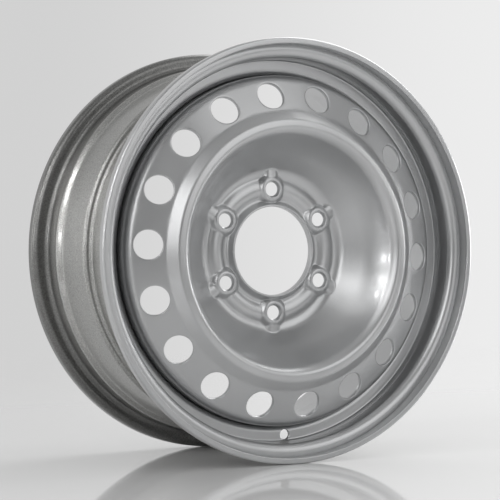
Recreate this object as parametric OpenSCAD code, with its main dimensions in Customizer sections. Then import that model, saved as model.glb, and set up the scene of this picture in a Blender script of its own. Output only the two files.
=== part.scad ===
// Steel road wheel: a rolled rim with a pressed centre disc welded into its well.
// The axle lies along Y, the outboard face looks towards -Y and +Z is up.
// The origin is on the axle, half way between the two flanges.

/* [Rim] */
// Width between the tyre sides of the two flanges
rim_width = 177.8; // [165.1:0.1:215.9]
// Diameter of the bead seats at the flanges
bead_seat_d = 436.6; // [405.6:0.1:462]
// Height of the flanges above the bead seats
flange_height = 17.3; // [15:0.1:20]
// Thickness of the rim's sheet
rim_sheet = 3; // [2.4:0.1:3.6]
// Radius of the flange on its tyre side
flange_bend_r = 9; // [8:0.1:10]
// How far the rolled lip stands out from the flange's tyre side
lip_reach = 15.7; // [14.5:0.1:18]
// Depth of the lip's folded edge towards the axle
lip_depth = 6.6; // [5:0.1:8]
// Radius of the lip's outer corner
lip_bend_r = 2.6; // [2:0.1:5]
// Chamfer of the lip's inner corner
lip_edge = 0.8; // [0.4:0.1:1.5]
// Radius of the heel between bead seat and flange
heel_r = 6.5; // [4:0.1:7]
// Taper of the bead seats in degrees
seat_taper = 5; // [3:0.5:7]
// Distance from a flange to the top of its hump
hump_at = 23; // [21:0.5:25]
// Half the width of the hump's foot
hump_half_w = 4; // [3:0.5:5]
// Height of the hump above the bead seat
hump_height = 1.6; // [1:0.1:2.5]

/* [Well] */
// Depth of the well below the bead seats
well_depth = 18.3; // [17:0.1:24]
// Distance from the front flange to the well's front wall
well_front = 32; // [30:0.5:40]
// Lean of the well's front wall towards the well
well_lean = 1; // [0:0.5:4]
// Width of the well between its two walls
well_w = 64.5; // [55:0.5:70]
// Drop of the shoulder in front of the well below the bead seat
shoulder_drop = 1.4; // [1:0.1:2]
// Height of the ledge behind the well above the well's floor
ledge_rise = 8; // [6:0.5:9]
// Further rise of the ledge towards the rear hump
ledge_slope_rise = 4.3; // [3:0.1:5]
// Distance from the rear hump's top to the foot of its step
step_w = 7; // [6:0.5:9]
// Radius of the bends of the well and the ledge
well_bend_r = 5; // [4:0.5:6]
// Diameter of the valve hole
valve_hole_d = 11.5; // [11:0.1:16]
// Distance from the well's inside out to the valve hole's centre
valve_hole_rise = 10.5; // [10:0.1:11]
// Angle of the valve hole from straight up
valve_clock = 182.4; // [0:0.1:360]

/* [Disc] */
// Thickness of the disc's sheet
disc_sheet = 4.5; // [3.5:0.1:5.5]
// Distance from the rim's middle forward to the mounting face
wheel_offset = 38.7; // [30:0.1:50]
// Gap between the disc's flange and the well
disc_fit_gap = 0.1; // [0.05:0.05:0.3]
// Length of the disc's flange that seats in the well
flange_seat = 24; // [18:0.5:30]
// Distance from the lip's face back to the corner of vent cone and flange
corner_recess = 30.9; // [28:0.1:34]
// Radius of the bend between the vent cone and the flange
corner_bend_r = 12.4; // [10:0.1:14]
// Slope of the vent cone in degrees
vent_slope = 23.4; // [18:0.1:28]
// Width of the vent cone, up to the flange's outside
vent_cone_w = 41; // [38:0.5:46]
// Radius of the valley between the vent cone and the crown
valley_bend_r = 4; // [3:0.5:8]
// Distance from the lip's face back to the top of the crown
crown_recess = 3.6; // [3:0.1:6]
// Width of the slope from the valley up to the crown's top
crown_slope_w = 11.1; // [10:0.1:13]
// Radius of the bend between that slope and the crown's top
crown_slope_bend_r = 7.5; // [5:0.5:8]
// Width of the crown's top
crown_top_w = 7.6; // [6:0.1:9]
// Fall of the crown's top towards the vents
crown_fall = 1.3; // [0.5:0.1:2]
// Width of the brow between the crown's top and the bowl's wall
brow_w = 5.7; // [5:0.1:8]
// Drop of the brow towards the bowl
brow_drop = 3.1; // [2:0.1:4]
// Radius of the bends on both sides of the brow
brow_bend_r = 5.5; // [4.6:0.1:7]

/* [Vents] */
// Number of vent holes
vent_count = 18; // [12:1:20]
// Diameter of the vent holes
vent_d = 32; // [24:0.5:36]
// Distance from the flange's outside in to the vents' centres
vent_inset = 23.1; // [21:0.1:25]
// Angle of the first vent from straight up
vent_clock = 7.7; // [0:0.1:20]

/* [Hub] */
// Diameter of the centre bore
bore_d = 100.3; // [92:0.1:104]
// Height of the bore's collar in front of the plate
collar_height = 6.9; // [5:0.1:8]
// Thickness of the collar at its tip
collar_tip = 2; // [1.5:0.1:3]
// Thickness of the collar at its foot
collar_foot = 6.9; // [5:0.1:8]
// Radius of the bore's flare at the mounting face
bore_flare = 3.7; // [2:0.1:4]
// Number of lug holes
lug_count = 6; // [4:1:8]
// Diameter of the bolt circle
bolt_circle_d = 139.7; // [135:0.1:150]
// Diameter of the lug holes
lug_hole_d = 15.6; // [14:0.1:17]
// Angle of the first lug hole from straight up
lug_clock = 0.9; // [0:0.1:60]
// Depth of the tapered seat of a lug hole
lug_seat_depth = 2.9; // [2:0.1:3.2]
// Half the angle of the tapered seat
lug_seat_angle = 30; // [25:1:45]
// Height of a lug boss above the plate
boss_height = 6.3; // [4.6:0.1:7]
// Diameter of a lug boss at its face
boss_face_d = 25; // [22:0.5:27]
// Diameter of a lug boss at its foot
boss_foot_d = 31; // [29:0.5:34]
// Diameter of the hollow behind a lug boss
boss_hollow_d = 23; // [20:0.5:25]
// Width of the ridges between the bosses
ridge_w = 18; // [10:0.5:20]
// Height of those ridges
ridge_height = 3.7; // [2:0.1:4.4]
// Distance between a ridge's end and the boss beside it
ridge_gap = 0.8; // [0.5:0.1:3]
// Distance from the bolt circle out to the edge of the plate
plate_margin = 13.5; // [11:0.1:15]
// Radius of the bend between the plate and the bowl's floor
plate_bend_r = 8; // [5:0.5:10]
// Width of the bowl's floor round the plate
bowl_floor_w = 7.1; // [6:0.1:9]
// Rise of the bowl's floor
bowl_floor_rise = 2; // [1:0.1:3]
// Radius between the bowl's floor and its wall
bowl_bend_r = 10; // [8:0.5:14]
// Share of the wall's width on the inner side of its knee
knee_w_share = 0.73; // [0.7:0.01:0.75]
// Share of the wall's height on the inner side of its knee
knee_h_share = 0.61; // [0.59:0.01:0.64]
// Radius of the gentle bend at the wall's knee
knee_bend_r = 80; // [60:1:85]
// Width of the bridge from a boss to the bowl's wall
bridge_w = 14; // [12:0.5:20]
// Height of that bridge above the plate
bridge_height = 5.7; // [4:0.1:6.2]
// Rounding radius of the bridge's back
bridge_r = 9; // [8:0.1:16]
// Distance from the bolt circle out to the bridge's end, inside the bowl's wall
bridge_reach = 30; // [26:0.5:34]

/* [Welds] */
// Number of weld beads
weld_count = 8; // [4:1:12]
// Leg of the weld beads
weld_leg = 4; // [3:0.1:4.4]
// Arc of one weld bead in degrees
weld_arc = 24; // [12:1:28]
// Gap between a bead and the sheets it joins
weld_gap = 0.05; // [0.02:0.01:0.2]

/* [Hidden] */
$fn = 180;
// Largest step of a bend in degrees
arc_step = 6;
// Share of a straight that one bend may take up
bend_share = 0.48;
// How far a cutting tool runs past the sheet
run_out = 3;
silver = "#8f9294";
weld_grey = "#85888a";

// Radii of the rim's tyre side
seat_r = bead_seat_d / 2;
flange_r = seat_r + flange_height;
lip_r = flange_r - lip_depth;
well_r = seat_r - well_depth;
well_air_r = well_r - rim_sheet;
ledge_r = well_r + ledge_rise;

// Places of the rim along the axle
front_wall_y = -rim_width / 2;
rear_wall_y = rim_width / 2;
lip_face_y = front_wall_y - lip_reach;
rear_lip_y = rear_wall_y + lip_reach;
well_front_y = front_wall_y + well_front;
well_rear_y = well_front_y + well_w;
rear_hump_y = rear_wall_y - hump_at;
valve_hole_r = well_air_r + valve_hole_rise;

// Places of the disc
disc_r = well_air_r - disc_fit_gap;
mount_y = -wheel_offset;
plate_y = mount_y - disc_sheet;
flange_end_y = well_front_y + well_lean + well_bend_r + flange_seat;
corner_y = lip_face_y + corner_recess;
cone_inner_r = disc_r - vent_cone_w;
cone_inner_y = corner_y - vent_cone_w * tan(vent_slope);
crown_y = lip_face_y + crown_recess;
crown_outer_r = cone_inner_r - crown_slope_w;
crown_inner_r = crown_outer_r - crown_top_w;
brow_r = crown_inner_r - brow_w;
brow_y = crown_y + brow_drop;
vent_r = disc_r - vent_inset;
vent_y = corner_y - vent_inset * tan(vent_slope);

// Places of the hub
bore_r = bore_d / 2;
bolt_r = bolt_circle_d / 2;
lug_hole_r = lug_hole_d / 2;
collar_y = plate_y - collar_height;
boss_y = plate_y - boss_height;
boss_floor_y = boss_y + disc_sheet;
plate_r = bolt_r + plate_margin;
bowl_r = plate_r + bowl_floor_w;
bowl_y = plate_y - bowl_floor_rise;
knee_r = bowl_r + knee_w_share * (brow_r - bowl_r);
knee_y = bowl_y + knee_h_share * (brow_y - bowl_y);

// Direction from one corner of a path to another
function heading(a, b) = [b[0] - a[0], b[1] - a[1]] / norm([b[0] - a[0], b[1] - a[1]]);

// Distance between two corners of a path
function straight(a, b) = norm([b[0] - a[0], b[1] - a[1]]);

// A direction turned a quarter to the left
function left_of(u) = [-u[1], u[0]];

// A point turned about the origin
function turned(p, angle) = [p[0] * cos(angle) - p[1] * sin(angle), p[0] * sin(angle) + p[1] * cos(angle)];

// The same list from its last item to its first
function reversed(list) = [for (i = [len(list) - 1 : -1 : 0]) list[i]];

// Bend at corner i of a path [r, y, radius], as points, moved d to the left of the path
function bend(path, i, d) =
    let (
        before = heading(path[i - 1], path[i]),
        after = heading(path[i], path[i + 1]),
        turn = atan2(cross(before, after), before * after),
        side = sign(turn),
        room = bend_share * min(straight(path[i - 1], path[i]), straight(path[i], path[i + 1])),
        half_tan = max(tan(abs(turn) / 2), 0.001),
        radius = max(0, min(path[i][2], room / half_tan) - side * d),
        shift = (left_of(before) + left_of(after)) / (1 + before * after),
        corner = [path[i][0], path[i][1]] + d * shift,
        centre = corner - before * radius * half_tan + left_of(before) * radius * side,
        steps = max(1, ceil(abs(turn) / arc_step))
    )
    radius == 0 ? [corner]
        : [for (k = [0 : steps]) centre + turned(-left_of(before) * radius * side, turn * k / steps)];

// One side of a bent sheet: the path moved d to its left
function sheet_side(path, d) =
    let (last = len(path) - 1)
    concat(
        [[path[0][0], path[0][1]] + d * left_of(heading(path[0], path[1]))],
        [for (i = [1 : last - 1]) each bend(path, i, d)],
        [[path[last][0], path[last][1]] + d * left_of(heading(path[last - 1], path[last]))]
    );

// Radius of a bead seat at some distance from its flange
function seat_at(distance) = seat_r - distance * tan(seat_taper);

// Tyre side of the rim between its two flange walls, as corners [r, y, bend radius]
barrel_path = [
    [seat_r, front_wall_y, heel_r],
    [seat_at(hump_at - hump_half_w), front_wall_y + hump_at - hump_half_w, well_bend_r],
    [seat_at(hump_at) + hump_height, front_wall_y + hump_at, well_bend_r],
    [seat_r - shoulder_drop, well_front_y, well_bend_r],
    [well_r, well_front_y + well_lean, well_bend_r],
    [well_r, well_rear_y - well_lean, well_bend_r],
    [ledge_r, well_rear_y, well_bend_r],
    [ledge_r + ledge_slope_rise, rear_hump_y - step_w, well_bend_r],
    [seat_at(hump_at) + hump_height, rear_hump_y, well_bend_r],
    [seat_at(hump_at - hump_half_w), rear_hump_y + hump_half_w, well_bend_r],
    [seat_r, rear_wall_y, heel_r],
];

// Tyre side of the rim with both flanges and the faces of their lips
tyre_path = concat(
    [
        [lip_r + lip_edge, lip_face_y, 0],
        [flange_r, lip_face_y, lip_bend_r],
        [flange_r, front_wall_y, flange_bend_r]
    ],
    barrel_path,
    [
        [flange_r, rear_wall_y, flange_bend_r],
        [flange_r, rear_lip_y, lip_bend_r],
        [lip_r + lip_edge, rear_lip_y, 0]
    ]
);

// Sheet of the rim from one lip's folded edge to the other
sheet_path = concat([[lip_r, front_wall_y, 0]], barrel_path, [[lip_r, rear_wall_y, 0]]);

// Front of the disc from the collar's foot to the end of its flange, as corners [r, y, bend radius]
disc_path = [
    [bore_r + collar_foot, plate_y, 0],
    [plate_r, plate_y, plate_bend_r],
    [bowl_r, bowl_y, bowl_bend_r],
    [knee_r, knee_y, knee_bend_r],
    [brow_r, brow_y, brow_bend_r],
    [crown_inner_r, crown_y, brow_bend_r],
    [crown_outer_r, crown_y + crown_fall, crown_slope_bend_r],
    [cone_inner_r, cone_inner_y, valley_bend_r],
    [disc_r, corner_y, corner_bend_r],
    [disc_r, flange_end_y, 0],
];

// Flare of the bore at the mounting face
bore_flare_points = [
    for (a = [0 : arc_step : 90]) [bore_r + bore_flare * (1 - sin(a)), mount_y - bore_flare * (1 - cos(a))]
];

// Turns a shape drawn about Z so that its axis is the axle
module on_axle() rotate([-90, 0, 0]) children();

// Puts a shape at an angle from straight up, with X outward from the axle
module clocked(angle) rotate([0, -90 - angle, 0]) children();

// Repeats a shape around the axle
module pattern(count, first) {
    for (i = [0 : count - 1]) clocked(first - 360 / count * i) children();
}

// A pin along the axle from one place to another, r1 in front and r2 behind
module axial_pin(y1, y2, r1, r2) translate([0, y1, 0]) on_axle() cylinder(h = y2 - y1, r1 = r1, r2 = r2);

// Circular segment of the given width and height on a foot that reaches down by the given depth
module ridge_section(width, height, depth) {
    radius = (width * width / 4 + height * height) / (2 * height);
    half_angle = asin(width / 2 / radius);
    polygon(concat(
        [for (k = [-1 : 0.125 : 1]) [radius * sin(half_angle * k), radius * (1 - cos(half_angle * k)) - height]],
        [[width / 2, depth], [-width / 2, depth]]
    ));
}

// Ring segment over one gap between two bosses
module ridge_arc(y, depth) {
    boss_half = asin((boss_foot_d / 2 + ridge_gap) / bolt_r);
    arc = 360 / lug_count - 2 * boss_half;
    clocked(-180 / lug_count - arc / 2) on_axle()
        rotate_extrude(angle = -arc) translate([bolt_r, y]) ridge_section(ridge_w, ridge_height, depth);
}

module ridges(y, depth) {
    for (i = [0 : lug_count - 1]) rotate([0, 360 / lug_count * i - lug_clock, 0]) ridge_arc(y, depth);
}

module rim() color(silver) difference() {
    on_axle() rotate_extrude() polygon(concat(
        [[lip_r, lip_face_y + lip_edge]],
        sheet_side(tyre_path, 0),
        [[lip_r, rear_lip_y - lip_edge]],
        reversed(sheet_side(sheet_path, rim_sheet))
    ));
    clocked(valve_clock) translate([valve_hole_r, 0, 0])
        axial_pin(well_front_y - rim_sheet - run_out, well_front_y + well_lean + run_out,
            valve_hole_d / 2, valve_hole_d / 2);
}

// The pressed sheet before its holes are punched
module disc_sheet_body() on_axle() rotate_extrude() polygon(concat(
    [[bore_r, collar_y], [bore_r + collar_tip, collar_y]],
    sheet_side(disc_path, 0),
    reversed(sheet_side(disc_path, disc_sheet)),
    bore_flare_points
));

// The space in front of the hub's sheet, measured from the middle of its thickness
module hub_front() on_axle() rotate_extrude() polygon(concat(
    sheet_side([for (i = [0 : 4]) disc_path[i]], disc_sheet / 2),
    [[bore_r + collar_foot, crown_y]]
));

// A boss with a tapered flank
module lug_boss() translate([bolt_r, 0, 0])
    axial_pin(boss_y, plate_y + disc_sheet / 2, boss_face_d / 2, boss_foot_d / 2);

// A round-backed bar from a boss out to the bowl's wall
module bridge_bar() translate([bolt_r, plate_y, 0]) rotate([0, 90, 0])
    linear_extrude(bridge_reach) intersection() {
        translate([0, bridge_r - bridge_height]) circle(r = bridge_r);
        translate([-bridge_w / 2, -bridge_height]) square([bridge_w, bridge_height + disc_sheet / 2]);
    }

// The hole, its tapered seat and the hollow behind a boss
module lug_cut() translate([bolt_r, 0, 0]) {
    seat_r1 = lug_hole_r + lug_seat_depth * tan(lug_seat_angle);
    axial_pin(boss_y, boss_y + lug_seat_depth, seat_r1, lug_hole_r);
    axial_pin(boss_y - run_out, mount_y + run_out, lug_hole_r, lug_hole_r);
    axial_pin(boss_floor_y, mount_y + run_out, boss_hollow_d / 2, boss_hollow_d / 2);
}

// A vent punched square to the cone
module vent_cut() translate([vent_r, vent_y, 0]) rotate([0, 0, vent_slope])
    axial_pin(-disc_sheet - run_out, 2 * disc_sheet + run_out, vent_d / 2, vent_d / 2);

module disc() color(silver) difference() {
    union() {
        disc_sheet_body();
        pattern(lug_count, lug_clock) lug_boss();
        intersection() {
            hub_front();
            pattern(lug_count, lug_clock) bridge_bar();
        }
        ridges(plate_y, disc_sheet / 2);
    }
    pattern(lug_count, lug_clock) lug_cut();
    pattern(vent_count, vent_clock) vent_cut();
    ridges(mount_y, run_out);
}

// Fillet welds in the corner behind the disc's flange
module weld_beads() color(weld_grey) {
    bead_r = well_air_r - weld_gap;
    bead_y = flange_end_y + weld_gap;
    for (i = [0 : weld_count - 1]) on_axle() rotate(360 / weld_count * i)
        rotate_extrude(angle = weld_arc) translate([bead_r, bead_y])
            polygon([[0, 0], [0, weld_leg], [-weld_leg * 0.42, weld_leg * 0.72],
                [-weld_leg * 0.72, weld_leg * 0.42], [-weld_leg, 0]]);
}

rim();
disc();
weld_beads();
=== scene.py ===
import math

import bmesh
import bpy
import numpy as np
from mathutils import Matrix, Vector


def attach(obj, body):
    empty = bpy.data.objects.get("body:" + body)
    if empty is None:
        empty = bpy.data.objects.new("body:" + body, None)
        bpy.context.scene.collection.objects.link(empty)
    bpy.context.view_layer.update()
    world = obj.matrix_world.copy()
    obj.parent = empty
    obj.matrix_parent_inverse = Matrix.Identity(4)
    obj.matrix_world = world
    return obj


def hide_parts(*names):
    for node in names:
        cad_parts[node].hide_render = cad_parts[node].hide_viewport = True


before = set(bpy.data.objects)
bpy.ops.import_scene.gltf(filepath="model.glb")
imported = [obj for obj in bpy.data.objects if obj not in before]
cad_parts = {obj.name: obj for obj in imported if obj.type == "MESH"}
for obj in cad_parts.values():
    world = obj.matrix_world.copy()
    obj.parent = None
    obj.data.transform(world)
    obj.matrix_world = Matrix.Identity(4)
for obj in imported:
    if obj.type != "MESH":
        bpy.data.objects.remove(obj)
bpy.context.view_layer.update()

# Sizes are in millimetres, radius first and then y along the axle, and points become metres at the end
MM = 0.001

# How finely the sheets are divided
BEND_STEP = math.radians(7.5)
BEND_LENGTH = 2.4
ROUND_PARTS = 252
SUPPORT = 0.9
LONGEST_STEP = 7.0
LIP_EDGE_PARTS = 4
ROLL_PARTS = 5
SHEET_EDGE_PARTS = 6
BORE_PARTS = 5
HOLE_PARTS = 64
SAME_PLACE = 1e-6
SHARP_ANGLE = math.radians(38.0)

# Distances in metres within which the finished mesh is joined
MERGE_DISTANCE = 2e-6
SHORTEST_EDGE = 1e-6

# Rim sheet between its flange walls: corners as radius, y and bend radius on the tyre side
RIM_SHEET = 3.0
HEEL_R = 6.5
FLANGE_R = 235.6
FLANGE_BEND_R = 7.5
WALL_Y = 88.9
SEAT_R = 218.3
BARREL_PATH = [
    (SEAT_R, -WALL_Y, HEEL_R),
    (216.638, -69.9, 5.0),
    (217.888, -65.9, 5.0),
    (216.9, -56.9, 5.0),
    (200.0, -55.9, 5.0),
    (200.0, 6.6, 5.0),
    (208.0, 7.6, 5.0),
    (212.3, 58.9, 5.0),
    (217.888, 65.9, 5.0),
    (216.638, 69.9, 5.0),
    (SEAT_R, WALL_Y, HEEL_R),
]
BARREL_START = -92.0

# Lips of the flanges, folded back until they meet the wall
LIP_R = 229.0
LIP_Y = 104.6
LIP_BEND_R = 2.6
LIP_EDGE = 0.9

# Valve hole through the rim's front well wall
VALVE_ANGLE = math.radians(272.4)
VALVE_R = 207.5
VALVE_HOLE_R = 5.75
VALVE_CHAMFER = 0.7
VALVE_WALL_Y = -57.85
VALVE_CUT_REACH = 12.0

# Disc sheet: corners as radius, y and bend radius on the front
DISC_SHEET = 4.5
PLATE_Y = -43.2
MOUNT_Y = -38.7
COLLAR_FOOT_R = 57.05
DISC_PATH = [
    (COLLAR_FOOT_R, PLATE_Y, 0.0),
    (83.35, PLATE_Y, 8.0),
    (90.45, -45.2, 18.0),
    (120.42, -77.35, 125.0),
    (130.6, -96.3, 22.0),
    (137.2, -101.0, 6.5),
    (144.8, -99.7, 7.5),
    (155.9, -91.44, 4.0),
    (196.9, -73.7, 12.4),
    (196.9, -26.9, 0.0),
]
DISC_EDGE = 1.0

# Collar round the bore
BORE_R = 50.15
COLLAR_TIP_R = 52.15
COLLAR_TIP_Y = -50.1
COLLAR_BEND_R = 3.5
COLLAR_EDGE = 0.6
BORE_FLARE = 3.7

# Lug holes, their bosses, the ridges between them and the bridges to the bowl's wall
LUG_COUNT = 6
LUG_FIRST = math.radians(90.9)
BOLT_R = 69.85
LUG_HOLE_R = 7.8
SEAT_DEPTH = 2.9
SEAT_HALF_ANGLE = math.radians(30.0)
LUG_SEAT_R = LUG_HOLE_R + SEAT_DEPTH * math.tan(SEAT_HALF_ANGLE)
SEAT_EDGE = 0.5
SEAT_EDGE_POINTS = ((1.0, 0.0), (0.25, 0.03), (-0.2, 0.12))
SEAT_FOOT = 0.15
SEAT_FOOT_RISE = 0.2
LUG_BACK_DEPTH = 0.9
LUG_BACK_EDGE = 0.4
BOSS_HEIGHT = 6.3
BOSS_FACE_R = 11.0
BOSS_FOOT_R = 23.0
RIDGE_R = 71.5
RIDGE_HEIGHT = 3.7
RIDGE_HALF_WIDTH = 10.0
BRIDGE_HEIGHT = 5.2
BRIDGE_START = 11.0
BRIDGE_START_W = 4.0
BRIDGE_DROP = 0.03
BRIDGE_HALF_WIDTH = 10.0
BLEND = 1.0
BELOW = -3.0
RELIEF_END_R = 125.0

# Vents in the outer band of the disc
VENT_COUNT = 18
VENT_FIRST = math.radians(97.7)
VENT_R = 173.8
VENT_HOLE_R = 16.0
VENT_SLOPE = math.radians(23.4)
VENT_EDGE = 0.7
VENT_EDGE_PARTS = 3

# Patches of the disc's mesh round the lug holes and the vents, with their rows in front and behind
LUG_PATCH_R = 100.0
LUG_PATCH_PARTS = 30
LUG_PATCH_ROWS = (28, 14)
LUG_PATCH_SPREAD = 1.15
VENT_PATCH_START_R = 151.5
VENT_PATCH_STOP_R = 195.6
VENT_PATCH_PARTS = 16
VENT_PATCH_ROWS = (9, 5)
VENT_PATCH_SPREAD = 1.0

# Weld beads where the disc's flange ends inside the rim
WELD_COUNT = 8
WELD_ARC = math.radians(24.0)
WELD_R = 196.95
WELD_Y = -26.85
WELD_LEG = 4.0
WELD_BULGE = 0.7
WELD_RIPPLE = 0.28
WELD_PITCH = 2.6
WELD_TAPER = 4.0
WELD_END_SHARE = 0.02
WELD_PARTS = 150
WELD_SECTION_PARTS = 9


# Sheets bent along a path, rebuilt as smooth surfaces
def bent_sides(path, thickness):
    """The two sides of a bent sheet as lists of radius and y, point for point across the sheet."""
    points = np.array([corner[:2] for corner in path])
    headings = [math.atan2(b[1] - a[1], b[0] - a[0]) for a, b in zip(points[:-1], points[1:])]
    sides = []
    for offset in (0.0, thickness):
        side = [points[0] + offset * left(headings[0])]
        for i in range(1, len(points) - 1):
            turn = (headings[i] - headings[i - 1] + math.pi) % (2 * math.pi) - math.pi
            lean = 0.5 * (headings[i] + headings[i - 1])
            if abs(headings[i] - headings[i - 1]) > math.pi:
                lean += math.pi
            corner = points[i] + left(lean) * offset / math.cos(turn / 2)
            sign = math.copysign(1.0, turn)
            radius = max(path[i][2] - sign * offset, 0.0)
            along = np.array([math.cos(headings[i - 1]), math.sin(headings[i - 1])])
            start = corner - along * radius * math.tan(abs(turn) / 2)
            centre = start + left(headings[i - 1]) * sign * radius
            arc = path[i][2] * abs(turn)
            steps = max(2, math.ceil(abs(turn) / BEND_STEP), math.ceil(arc / BEND_LENGTH))
            for k in range(steps + 1):
                side.append(centre - sign * radius * left(headings[i - 1] + turn * k / steps))
        side.append(points[-1] + offset * left(headings[-1]))
        sides.append(np.array(side))
    return sides


def left(heading):
    """The direction to the left of a heading."""
    return np.array([-math.sin(heading), math.cos(heading)])


class Sheet:
    """A sheet turned about the axle: u runs along its front, and depth from 0 in front to 1 behind."""

    def __init__(self, front, back, relief=None):
        self.front = front
        self.back = back
        self.relief = relief
        self.u = np.concatenate(([0.0], np.cumsum(np.hypot(*np.diff(front, axis=0).T))))

    def end(self):
        return self.u[-1]

    def u_at_radius(self, radius):
        return float(np.interp(radius, self.front[:, 0], self.u))

    def points(self, u, theta, depth):
        u, theta, depth = np.broadcast_arrays(u, theta, depth)
        ahead = [np.interp(u, self.u, self.front[:, k]) for k in (0, 1)]
        behind = [np.interp(u, self.u, self.back[:, k]) for k in (0, 1)]
        r = ahead[0] + (behind[0] - ahead[0]) * depth
        y = ahead[1] + (behind[1] - ahead[1]) * depth
        if self.relief:
            y = y - self.relief(ahead[0] * np.cos(theta), ahead[0] * np.sin(theta), ahead[1])
        return np.stack([r * np.cos(theta), y, r * np.sin(theta)], -1)

    def rows(self, start, stop):
        """Places along the sheet from start to stop that follow its bends and keep its flats flat."""
        inner = [v for v in self.u if start + SAME_PLACE < v < stop - SAME_PLACE]
        marks = [start] + inner + [stop]
        rows = [start]
        for a, b in zip(marks[:-1], marks[1:]):
            length = b - a
            if length > 3 * SUPPORT:
                parts = max(1, math.ceil((length - 2 * SUPPORT) / LONGEST_STEP))
                rows += list(np.linspace(a + SUPPORT, b - SUPPORT, parts + 1))
            rows.append(b)
        return np.array(rows)


class Skin:
    """Gathers grids of points and joins them into one mesh."""

    def __init__(self):
        self.points = []
        self.faces = []
        self.tags = []
        self.count = 0

    def grid(self, grid, wrap_rows=False, wrap_columns=True, tag=0):
        rows, columns = grid.shape[:2]
        index = self.count + np.arange(rows * columns).reshape(rows, columns)
        if wrap_columns:
            index = np.concatenate([index, index[:, :1]], 1)
        if wrap_rows:
            index = np.concatenate([index, index[:1]], 0)
        quads = np.stack([index[:-1, :-1], index[:-1, 1:], index[1:, 1:], index[1:, :-1]], -1)
        quads = quads.reshape(-1, 4)
        self.points.append(grid.reshape(-1, 3))
        self.faces.append(quads)
        self.tags.append(np.full(len(quads), tag))
        self.count += rows * columns

    def build(self, name, materials):
        mesh = bpy.data.meshes.new(name)
        points = np.concatenate(self.points) * MM
        faces = np.concatenate(self.faces)
        mesh.from_pydata(points.tolist(), [], faces.tolist())
        mesh.polygons.foreach_set("material_index", np.concatenate(self.tags).astype(np.int32))
        work = bmesh.new()
        work.from_mesh(mesh)
        bmesh.ops.remove_doubles(work, verts=work.verts, dist=MERGE_DISTANCE)
        bmesh.ops.dissolve_degenerate(work, edges=work.edges, dist=SHORTEST_EDGE)
        bmesh.ops.recalc_face_normals(work, faces=work.faces)
        work.to_mesh(mesh)
        work.free()
        for material in materials:
            mesh.materials.append(material)
        mesh.shade_smooth()
        piece = bpy.data.objects.new(name, mesh)
        bpy.context.scene.collection.objects.link(piece)
        return piece


def edge_rows(end, edge):
    """Places across the rounded edge at a sheet's end, from its front to its back."""
    angles = np.linspace(0.0, math.pi, SHEET_EDGE_PARTS + 1)
    return end - edge * (1.0 - np.sin(angles)), 0.5 * (1.0 - np.cos(angles))


def hole_loops(us, thetas, centre_u, centre_theta, scale):
    """The border of a patch round a hole, and the direction of each of its points from the hole."""
    u = np.concatenate([np.full(len(thetas) - 1, us[0]), us[:-1],
                        np.full(len(thetas) - 1, us[-1]), us[:0:-1]])
    theta = np.concatenate([thetas[:-1], np.full(len(us) - 1, thetas[-1]),
                            thetas[:0:-1], np.full(len(us) - 1, thetas[0])])
    direction = np.arctan2((theta - centre_theta) * scale, u - centre_u)
    return u, theta, direction


def spread(rows, power):
    """Shares from 0 to 1, closer together near 0 where the power is over 1."""
    return (np.arange(rows + 1) / rows) ** power


# Shader nodes that the paint and the studio share
def noise(tree, place, scale, detail, breakup):
    made = tree.nodes.new("ShaderNodeTexNoise")
    made.inputs["Scale"].default_value = scale
    made.inputs["Detail"].default_value = detail
    made.inputs["Roughness"].default_value = breakup
    tree.links.new(place, made.inputs["Vector"])
    return made.outputs["Fac"]


def map_range(tree, value, start, stop, smooth=False):
    """Carries the start pair of numbers over to the stop pair."""
    made = tree.nodes.new("ShaderNodeMapRange")
    if smooth:
        made.interpolation_type = "SMOOTHSTEP"
    made.inputs["From Min"].default_value, made.inputs["From Max"].default_value = start
    made.inputs["To Min"].default_value, made.inputs["To Max"].default_value = stop
    tree.links.new(value, made.inputs["Value"])
    return made.outputs["Result"]


def multiply(tree, first, second):
    made = tree.nodes.new("ShaderNodeMath")
    made.operation = "MULTIPLY"
    tree.links.new(first, made.inputs[0])
    tree.links.new(second, made.inputs[1])
    return made.outputs["Value"]


def coordinates(tree, kind):
    """The place that a shader works on, and the same place split into X, Y and Z."""
    place = tree.nodes.new("ShaderNodeTexCoord").outputs[kind]
    split = tree.nodes.new("ShaderNodeSeparateXYZ")
    tree.links.new(place, split.inputs["Vector"])
    return place, split.outputs


# Paint, with flake sizes in millimetres and places in metres
NOISE_SPAN = (0.3, 0.7)
FLAKE_DETAIL = 2.0
FLAKE_BREAKUP = 0.6
CLOUD_SCALE = 14.0
CLOUD_DETAIL = 3.0
CLOUD_BREAKUP = 0.5
CLOUD_TONE = 0.04
CLOUD_GLOSS = 0.03
REAR_TONE_Y = (0.074, 0.088)
METALLIC = 0.9
COAT_WEIGHT = 0.5
COAT_ROUGHNESS = 0.13


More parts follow.
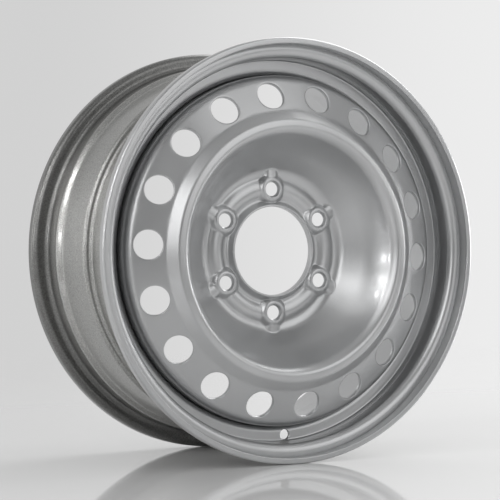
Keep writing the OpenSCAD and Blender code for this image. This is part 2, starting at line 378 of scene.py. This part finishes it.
def silver_paint(name, colour, flake_size, flake_depth, flake_tone, roughness, rear_tone=1.0):
    """Satin silver paint: bright flakes under a thin coat, and another tone on the rear flange."""
    material = bpy.data.materials.new(name)
    material.use_nodes = True
    tree = material.node_tree
    shader = tree.nodes["Principled BSDF"]
    place, axes = coordinates(tree, "Object")
    flakes = noise(tree, place, 1.0 / (flake_size * MM), FLAKE_DETAIL, FLAKE_BREAKUP)
    clouds = noise(tree, place, CLOUD_SCALE, CLOUD_DETAIL, CLOUD_BREAKUP)

    tone = map_range(tree, flakes, NOISE_SPAN, (1.0 - flake_tone, 1.0 + flake_tone))
    drift = map_range(tree, clouds, NOISE_SPAN, (1.0 - CLOUD_TONE, 1.0 + CLOUD_TONE))
    rear = map_range(tree, axes["Y"], REAR_TONE_Y, (1.0, rear_tone))
    tint = tree.nodes.new("ShaderNodeVectorMath")
    tint.operation = "SCALE"
    tint.inputs["Vector"].default_value = colour
    tree.links.new(multiply(tree, multiply(tree, tone, drift), rear), tint.inputs["Scale"])
    tree.links.new(tint.outputs["Vector"], shader.inputs["Base Color"])

    gloss = map_range(tree, clouds, NOISE_SPAN, (roughness - CLOUD_GLOSS, roughness + CLOUD_GLOSS))
    tree.links.new(gloss, shader.inputs["Roughness"])
    bump = tree.nodes.new("ShaderNodeBump")
    bump.inputs["Strength"].default_value = 1.0
    bump.inputs["Distance"].default_value = flake_depth * MM
    tree.links.new(flakes, bump.inputs["Height"])
    tree.links.new(bump.outputs["Normal"], shader.inputs["Normal"])

    shader.inputs["Metallic"].default_value = METALLIC
    shader.inputs["Coat Weight"].default_value = COAT_WEIGHT
    shader.inputs["Coat Roughness"].default_value = COAT_ROUGHNESS
    return material


face_paint = silver_paint("silver_face", (0.50, 0.505, 0.51), flake_size=0.5, flake_depth=0.012,
                          flake_tone=0.03, roughness=0.34)
barrel_paint = silver_paint("silver_barrel", (0.36, 0.36, 0.35), flake_size=1.4, flake_depth=0.10,
                            flake_tone=0.30, roughness=0.34, rear_tone=0.48)
weld_paint = silver_paint("silver_weld", (0.46, 0.465, 0.47), flake_size=0.7, flake_depth=0.05,
                          flake_tone=0.06, roughness=0.40)


# Rim
def lathe(section, thetas):
    """A section of radius and y, turned about the axle."""
    section = np.asarray(section)
    r = section[:, 0][:, None]
    y = np.repeat(section[:, 1][:, None], len(thetas), 1)
    return np.stack([r * np.cos(thetas), y, r * np.sin(thetas)], -1)


def flange_corners(side):
    """The tyre side of one flange from its lip to its wall, side -1 in front and 1 behind."""
    return [
        (LIP_R + LIP_EDGE, side * LIP_Y, 0.0),
        (FLANGE_R, side * LIP_Y, LIP_BEND_R),
        (FLANGE_R, side * WALL_Y, FLANGE_BEND_R),
    ]


def folded_lip():
    """The front lip's inner side from its face to the crevice, and the roll of the wall from there on."""
    edge = [(LIP_R + LIP_EDGE * (1 - math.sin(a)), -LIP_Y + LIP_EDGE * (1 - math.cos(a)))
            for a in np.linspace(0.0, math.pi / 2, LIP_EDGE_PARTS + 1)]
    centre_r = SEAT_R + HEEL_R
    centre_y = HEEL_R - WALL_Y
    roll_r = HEEL_R + RIM_SHEET
    lean = math.asin((LIP_R - centre_r) / roll_r)
    roll = [(centre_r + roll_r * math.sin(a), centre_y - roll_r * math.cos(a))
            for a in np.linspace(lean, 0.0, ROLL_PARTS + 1)]
    return np.array(edge), np.array(roll)


def make_rim():
    """The rim's tyre side, its air side and both folded lips in one mesh."""
    thetas = np.arange(ROUND_PARTS) * 2 * math.pi / ROUND_PARTS
    mirror = np.array([1.0, -1.0])
    edge, roll = folded_lip()
    fold = np.concatenate([edge, roll[:1]])
    tyre_side = bent_sides(flange_corners(-1) + BARREL_PATH + flange_corners(1)[::-1], 0.0)[0]
    walled_path = [(LIP_R, -WALL_Y, 0.0)] + BARREL_PATH + [(LIP_R, WALL_Y, 0.0)]
    air_side = bent_sides(walled_path, RIM_SHEET)[1][1:-1]
    air_side = np.concatenate([roll[:-1], air_side, roll[-2::-1] * mirror])
    skin = Skin()
    for side, is_tyre_side in ((tyre_side, True), (air_side, False), (fold, False), (fold * mirror, False)):
        sheet = Sheet(side, side)
        along = sheet.rows(0.0, sheet.end())
        start = len(along) - 1
        if is_tyre_side:
            start = int(np.searchsorted(along, sheet.u[np.argmax(side[:, 1] > BARREL_START)]))
            skin.grid(sheet.points(along[start:, None], thetas, 0.0), tag=1)
        skin.grid(sheet.points(along[:start + 1, None], thetas, 0.0))
    return skin.build("rim_shell", [face_paint, barrel_paint])


def cut_valve_hole(piece):
    """Cuts the valve hole, with a small chamfer towards the front, along the axle's direction."""
    front_y = VALVE_WALL_Y - RIM_SHEET / 2
    section = [
        (0.0, front_y - VALVE_CUT_REACH),
        (VALVE_HOLE_R + VALVE_CHAMFER, front_y - VALVE_CUT_REACH),
        (VALVE_HOLE_R + VALVE_CHAMFER, front_y),
        (VALVE_HOLE_R, front_y + VALVE_CHAMFER),
        (VALVE_HOLE_R, front_y + VALVE_CUT_REACH),
        (0.0, front_y + VALVE_CUT_REACH),
    ]
    thetas = np.arange(HOLE_PARTS) * 2 * math.pi / HOLE_PARTS
    skin = Skin()
    skin.grid(lathe(section, thetas))
    cutter = skin.build("valve_cutter", [])
    cutter.location = (VALVE_R * math.cos(VALVE_ANGLE) * MM, 0.0, VALVE_R * math.sin(VALVE_ANGLE) * MM)
    bpy.context.view_layer.update()
    cut = piece.modifiers.new("valve_hole", "BOOLEAN")
    cut.operation = "DIFFERENCE"
    cut.solver = "EXACT"
    cut.object = cutter
    ready = piece.evaluated_get(bpy.context.evaluated_depsgraph_get())
    mesh = bpy.data.meshes.new_from_object(ready)
    piece.modifiers.clear()
    piece.data = mesh
    bpy.data.objects.remove(cutter)
    mesh.set_sharp_from_angle(angle=SHARP_ANGLE)


# Disc
def smooth_max(a, b, width):
    """The greater of two heights, with a soft blend where they are close."""
    mix = np.clip(0.5 + 0.5 * (b - a) / width, 0.0, 1.0)
    return a + (b - a) * mix + width * mix * (1.0 - mix)


def ease(value):
    """A soft step from 0 to 1."""
    value = np.clip(value, 0.0, 1.0)
    return value * value * (3.0 - 2.0 * value)


def hub_relief(x, z, base_y):
    """How far the bosses, ridges and bridges stand in front of the turned hub, all round."""
    r = np.hypot(x, z)
    step = 2 * math.pi / LUG_COUNT
    turn = (np.arctan2(z, x) - LUG_FIRST + step / 2) % step - step / 2
    across = r * np.sin(turn)
    out = r * np.cos(turn) - BOLT_R
    base = PLATE_Y - base_y

    from_lug = np.hypot(across, out)
    flank = ease((from_lug - BOSS_FACE_R) / (BOSS_FOOT_R - BOSS_FACE_R))
    boss = BOSS_HEIGHT + (BELOW - BOSS_HEIGHT) * flank

    off_ridge = np.abs(r - RIDGE_R) / RIDGE_HALF_WIDTH
    ridge = np.maximum(BELOW, RIDGE_HEIGHT * (1.0 - off_ridge ** 2))

    further = np.maximum(out - BRIDGE_START, 0.0)
    bar = BRIDGE_HEIGHT - BRIDGE_DROP * further - BRIDGE_HEIGHT * np.abs(across / BRIDGE_HALF_WIDTH) ** 3
    reach = ease(out / BRIDGE_START_W)
    bridge = np.maximum(BELOW, bar) * reach + BELOW * (1.0 - reach)

    height = base
    for feature in (bridge, ridge, boss):
        height = smooth_max(height, feature, BLEND)
    return np.where(r < RELIEF_END_R, height - base, 0.0)


def disc_sheet():
    """The disc's sheet from the collar's tip to the end of its flange."""
    front, back = bent_sides(DISC_PATH, DISC_SHEET)
    foot = (COLLAR_FOOT_R, PLATE_Y, COLLAR_BEND_R)
    collar = bent_sides([(COLLAR_TIP_R, COLLAR_TIP_Y, 0.0), foot, DISC_PATH[1]], DISC_SHEET)[0][:-1]
    first = BORE_R + BORE_FLARE
    flat = np.stack([np.linspace(first, collar[-1, 0], len(collar)), np.full(len(collar), MOUNT_Y)], -1)
    return Sheet(np.concatenate([collar, front[1:]]), np.concatenate([flat, back[1:]]), hub_relief)


def holed_patch(skin, sheet, us, thetas, circle, centre, scale, section, rows, power):
    """One patch with a hole: its front, its back and the wall of the hole between them."""
    u, theta, direction = hole_loops(us, thetas, centre[0], centre[1], scale)
    for depth, ring, parts in ((0.0, section[0][0], rows[0]), (1.0, section[-1][0], rows[1])):
        ring_u, ring_theta = circle(ring, direction)
        share = spread(parts, power)[:, None]
        skin.grid(sheet.points(ring_u + (u - ring_u) * share,
                               ring_theta + (theta - ring_theta) * share, depth))
    wall = []
    for ring, depth in section:
        ring_u, ring_theta = circle(ring, direction)
        wall.append(sheet.points(ring_u, ring_theta, depth))
    skin.grid(np.array(wall))


def round_edge(hole_r, edge, thickness, steps):
    """A hole's section from front to back, with both of its edges rounded."""
    section = []
    for k in range(steps + 1):
        a = 0.5 * math.pi * k / steps
        section.append((hole_r + edge * (1 - math.sin(a)), edge * (1 - math.cos(a)) / thickness))
    return section + [(ring, 1.0 - depth) for ring, depth in reversed(section)]


def make_disc():
    """The disc's bore, lug patches, bowl, vent patches and flange in one mesh."""
    sheet = disc_sheet()
    skin = Skin()
    step = 2 * math.pi / ROUND_PARTS
    hub_u = sheet.u_at_radius(LUG_PATCH_R)
    vent_start = sheet.u_at_radius(VENT_PATCH_START_R)
    vent_stop = sheet.u_at_radius(VENT_PATCH_STOP_R)
    lug_parts = ROUND_PARTS // LUG_COUNT
    vent_parts = ROUND_PARTS // VENT_COUNT
    hub_start = LUG_FIRST - math.pi / LUG_COUNT
    hub_thetas = hub_start + step * np.arange(ROUND_PARTS)
    vent_offset = (VENT_FIRST - math.pi / VENT_COUNT - hub_start) % step
    if vent_offset > step / 2:
        vent_offset -= step
    rim_thetas = hub_thetas + vent_offset

    # Bore, from the collar's tip back to the mounting face
    angles = np.linspace(0.0, math.pi / 2, BORE_PARTS + 1)
    tip = [(COLLAR_TIP_R, COLLAR_TIP_Y)]
    tip += [(BORE_R + COLLAR_EDGE * (1 - math.sin(a)), COLLAR_TIP_Y + COLLAR_EDGE * (1 - math.cos(a)))
            for a in angles[::2]] + [(BORE_R, COLLAR_TIP_Y + COLLAR_EDGE)]
    bore = [(BORE_R, MOUNT_Y - BORE_FLARE - SUPPORT)]
    flare = [(BORE_R + BORE_FLARE * (1 - math.cos(a)), MOUNT_Y - BORE_FLARE * (1 - math.sin(a)))
             for a in angles]
    skin.grid(lathe(tip + bore + flare, hub_thetas))

    # Lug patches
    lug_section = [(LUG_SEAT_R + share * SEAT_EDGE, depth) for share, depth in SEAT_EDGE_POINTS]
    lug_section += [
        (LUG_HOLE_R + SEAT_FOOT, (SEAT_DEPTH - SEAT_FOOT_RISE) / DISC_SHEET),
        (LUG_HOLE_R, (SEAT_DEPTH + SEAT_FOOT) / DISC_SHEET),
        (LUG_HOLE_R, LUG_BACK_DEPTH),
        (LUG_HOLE_R + LUG_BACK_EDGE, 1.0),
    ]
    lug_u = sheet.u_at_radius(BOLT_R)
    hub_us = np.linspace(0.0, hub_u, LUG_PATCH_PARTS + 1)
    for i in range(LUG_COUNT):
        middle = LUG_FIRST + i * 2 * math.pi / LUG_COUNT

        def lug_circle(ring, direction, middle=middle):
            out = BOLT_R + ring * np.cos(direction)
            across = ring * np.sin(direction)
            return (lug_u + np.hypot(out, across) - BOLT_R, middle + np.arctan2(across, out))

        thetas = middle + step * (np.arange(lug_parts + 1) - lug_parts / 2)
        holed_patch(skin, sheet, hub_us, thetas, lug_circle, (lug_u, middle), BOLT_R,
                    lug_section, LUG_PATCH_ROWS, LUG_PATCH_SPREAD)

    # Bowl and crown
    for depth in (0.0, 1.0):
        rows = sheet.rows(hub_u, vent_start)
        share = ((rows - hub_u) / (vent_start - hub_u))[:, None]
        skin.grid(sheet.points(rows[:, None], hub_thetas + vent_offset * share, depth))

    # Vent patches
    vent_u = sheet.u_at_radius(VENT_R)
    lean = math.cos(VENT_SLOPE)
    vent_us = np.linspace(vent_start, vent_stop, VENT_PATCH_PARTS + 1)
    vent_section = round_edge(VENT_HOLE_R, VENT_EDGE, DISC_SHEET, VENT_EDGE_PARTS)
    for i in range(VENT_COUNT):
        middle = VENT_FIRST + i * 2 * math.pi / VENT_COUNT

        def vent_circle(ring, direction, middle=middle):
            out = VENT_R + ring * np.cos(direction) * lean
            across = ring * np.sin(direction)
            return (vent_u + (np.hypot(out, across) - VENT_R) / lean, middle + np.arctan2(across, out))

        thetas = middle + step * (np.arange(vent_parts + 1) - vent_parts / 2)
        holed_patch(skin, sheet, vent_us, thetas, vent_circle, (vent_u, middle), VENT_R,
                    vent_section, VENT_PATCH_ROWS, VENT_PATCH_SPREAD)

    # Outer bend and flange
    rows = sheet.rows(vent_stop, sheet.end() - DISC_EDGE)[:, None]
    for depth in (0.0, 1.0):
        skin.grid(sheet.points(rows, rim_thetas, depth))
    edge_u, edge_depth = edge_rows(sheet.end(), DISC_EDGE)
    skin.grid(sheet.points(edge_u[:, None], rim_thetas, edge_depth[:, None]))
    return skin.build("disc_shell", [face_paint])


# Weld beads
def make_welds():
    """Rippled fillets that taper at both ends, laid in the corner behind the disc's flange."""
    skin = Skin()
    for i in range(WELD_COUNT):
        middle = (i + 0.5) * 2 * math.pi / WELD_COUNT
        theta = middle + WELD_ARC * (np.arange(WELD_PARTS + 1) / WELD_PARTS - 0.5)
        run = WELD_R * (theta - theta[0])
        length = run[-1]
        from_end = (1.0 - np.minimum(run, length - run) / WELD_TAPER).clip(0)
        ends = np.sqrt(np.clip(1.0 - from_end ** 2, WELD_END_SHARE, 1.0))
        ripple = np.abs(np.sin(math.pi * run / WELD_PITCH)) - 0.5
        leg = WELD_LEG * ends
        bulge = (WELD_BULGE + WELD_RIPPLE * ripple) * ends
        rows = []
        for k in range(WELD_SECTION_PARTS + 1):
            share = k / WELD_SECTION_PARTS
            lift = bulge * math.sin(math.pi * share) / math.sqrt(2.0)
            rows.append((WELD_R - leg * (1 - share) - lift, WELD_Y + leg * share + lift))
        rows.append((np.full_like(leg, WELD_R), np.full_like(leg, WELD_Y)))
        section = [np.stack([r * np.cos(theta), y, r * np.sin(theta)], -1) for r, y in rows]
        grid = np.array(section)
        skin.grid(grid, wrap_rows=True, wrap_columns=False)
        for column in (0, -1):
            tip = np.repeat(grid[:, column].mean(0)[None], len(grid), 0)
            skin.grid(np.stack([grid[:, column], tip], 1), wrap_rows=True, wrap_columns=False)
    return skin.build("weld_bead_run", [weld_paint])


rim_piece = make_rim()
cut_valve_hole(rim_piece)
disc_piece = make_disc()
weld_piece = make_welds()
for piece, cad_node, paint_slot in (
    (rim_piece, "rim", "rim_paint"),
    (disc_piece, "disc", "disc_paint"),
    (weld_piece, "weld_beads", "weld_paint"),
):
    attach(piece, "root")
    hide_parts(cad_node)


# Floor, light and camera, in metres, with the lamps' azimuth from the outboard face to the right
FLOOR_Z = -FLANGE_R * MM
FLOOR_R = 3.0
FLOOR_PARTS = 128
FLOOR_COLOUR = (0.72, 0.72, 0.72, 1.0)
FLOOR_ROUGHNESS = 0.05
FLOOR_FADE_Y = (0.2, 1.8)
BEHIND_Y = (-0.1, 0.6)
BEHIND_LEVEL = (0.20, 0.64)
RIGHT_X = (0.36, 0.62)
RIGHT_GAIN = (1.0, 1.32)
LAMP_DISTANCE = 2.5
LAMPS = [
    # Name, azimuth and elevation in degrees, width and height, brightness
    ("front_softbox", 15.0, 14.0, (1.6, 1.2), 1.0),
    ("upper_softbox", 22.0, 38.0, (1.8, 1.0), 1.1),
    ("left_softbox", -60.0, 38.0, (1.2, 1.5), 1.1),
    ("low_left_softbox", -46.0, 18.0, (0.8, 1.5), 2.3),
    ("ceiling_softbox", 0.0, 78.0, (2.2, 1.8), 0.3),
    ("right_softbox", 55.0, 14.0, (1.1, 1.2), 1.0),
    ("right_edge_softbox", 80.0, 6.0, (0.6, 0.8), 4.0),
    ("far_right_softbox", 102.0, 6.0, (1.3, 0.8), 4.5),
    ("high_right_softbox", 108.0, 46.0, (2.2, 1.8), 2.6),
    ("far_left_softbox", -120.0, 10.0, (1.2, 1.2), 1.6),
    ("left_spot_low", -82.0, 6.0, (0.18, 0.18), 40.0),
    ("left_spot_middle", -83.0, 23.0, (0.18, 0.18), 40.0),
    ("left_spot_high", -83.0, 34.0, (0.18, 0.18), 40.0),
]
CAMERA_LENS = 124.43
CAMERA_SENSOR = 36.0
CAMERA_AZIMUTH = -0.507892
CAMERA_ELEVATION = 0.0025968
CAMERA_PLACE = (-0.97465, -1.74546, 0.00593)


def make_floor():
    """A round pale floor that shows a faint reflection and fades into the backdrop behind the wheel."""
    mesh = bpy.data.meshes.new("floor")
    work = bmesh.new()
    bmesh.ops.create_circle(work, cap_ends=True, segments=FLOOR_PARTS, radius=FLOOR_R)
    work.to_mesh(mesh)
    work.free()
    floor = bpy.data.objects.new("floor", mesh)
    floor.location = (0.0, 0.0, FLOOR_Z)
    bpy.context.scene.collection.objects.link(floor)
    material = bpy.data.materials.new("floor_pale")
    material.use_nodes = True
    tree = material.node_tree
    shader = tree.nodes["Principled BSDF"]
    shader.inputs["Base Color"].default_value = FLOOR_COLOUR
    shader.inputs["Roughness"].default_value = FLOOR_ROUGHNESS
    axes = coordinates(tree, "Object")[1]
    fade = map_range(tree, axes["Y"], FLOOR_FADE_Y, (0.0, 1.0), smooth=True)
    clear = tree.nodes.new("ShaderNodeBsdfTransparent")
    mix = tree.nodes.new("ShaderNodeMixShader")
    tree.links.new(fade, mix.inputs["Fac"])
    tree.links.new(shader.outputs["BSDF"], mix.inputs[1])
    tree.links.new(clear.outputs["BSDF"], mix.inputs[2])
    tree.links.new(mix.outputs["Shader"], tree.nodes["Material Output"].inputs["Surface"])
    mesh.materials.append(material)


def make_world():
    """A studio that is pale behind the wheel, most of all to the right, and dim in front of it."""
    world = bpy.data.worlds.new("studio")
    bpy.context.scene.world = world
    world.use_nodes = True
    tree = world.node_tree
    axes = coordinates(tree, "Generated")[1]
    behind = map_range(tree, axes["Y"], BEHIND_Y, BEHIND_LEVEL, smooth=True)
    right = map_range(tree, axes["X"], RIGHT_X, RIGHT_GAIN, smooth=True)
    tree.links.new(multiply(tree, behind, right), tree.nodes["Background"].inputs["Color"])


def make_lamp(name, azimuth, elevation, size, strength):
    """A soft lamp that looks at the wheel and stays out of the picture."""
    lamp = bpy.data.lights.new(name, "AREA")
    lamp.shape = "RECTANGLE"
    lamp.size, lamp.size_y = size
    lamp.energy = math.pi * size[0] * size[1] * strength
    holder = bpy.data.objects.new(name, lamp)
    bpy.context.scene.collection.objects.link(holder)
    holder.visible_camera = False
    around, rise = math.radians(azimuth), math.radians(elevation)
    where = Vector((math.sin(around) * math.cos(rise), -math.cos(around) * math.cos(rise), math.sin(rise)))
    holder.location = where * LAMP_DISTANCE
    holder.rotation_euler = where.to_track_quat("Z", "Y").to_euler()


def make_camera():
    """The photo's view: level with the axle, from the left of the outboard face."""
    camera = bpy.data.cameras.new("photo_camera")
    camera.lens = CAMERA_LENS
    camera.sensor_width = CAMERA_SENSOR
    holder = bpy.data.objects.new("photo_camera", camera)
    bpy.context.scene.collection.objects.link(holder)
    level = math.cos(CAMERA_ELEVATION)
    back = np.array([math.sin(CAMERA_AZIMUTH) * level, -math.cos(CAMERA_AZIMUTH) * level,
                     math.sin(CAMERA_ELEVATION)])
    right = np.array([math.cos(CAMERA_AZIMUTH), math.sin(CAMERA_AZIMUTH), 0.0])
    up = np.cross(back, right)
    turn = Matrix((right, up, back)).transposed().to_4x4()
    holder.matrix_world = Matrix.Translation(CAMERA_PLACE) @ turn
    bpy.context.scene.camera = holder


make_floor()
make_world()
for lamp_values in LAMPS:
    make_lamp(*lamp_values)
make_camera()
bpy.context.scene.view_settings.view_transform = "Standard"
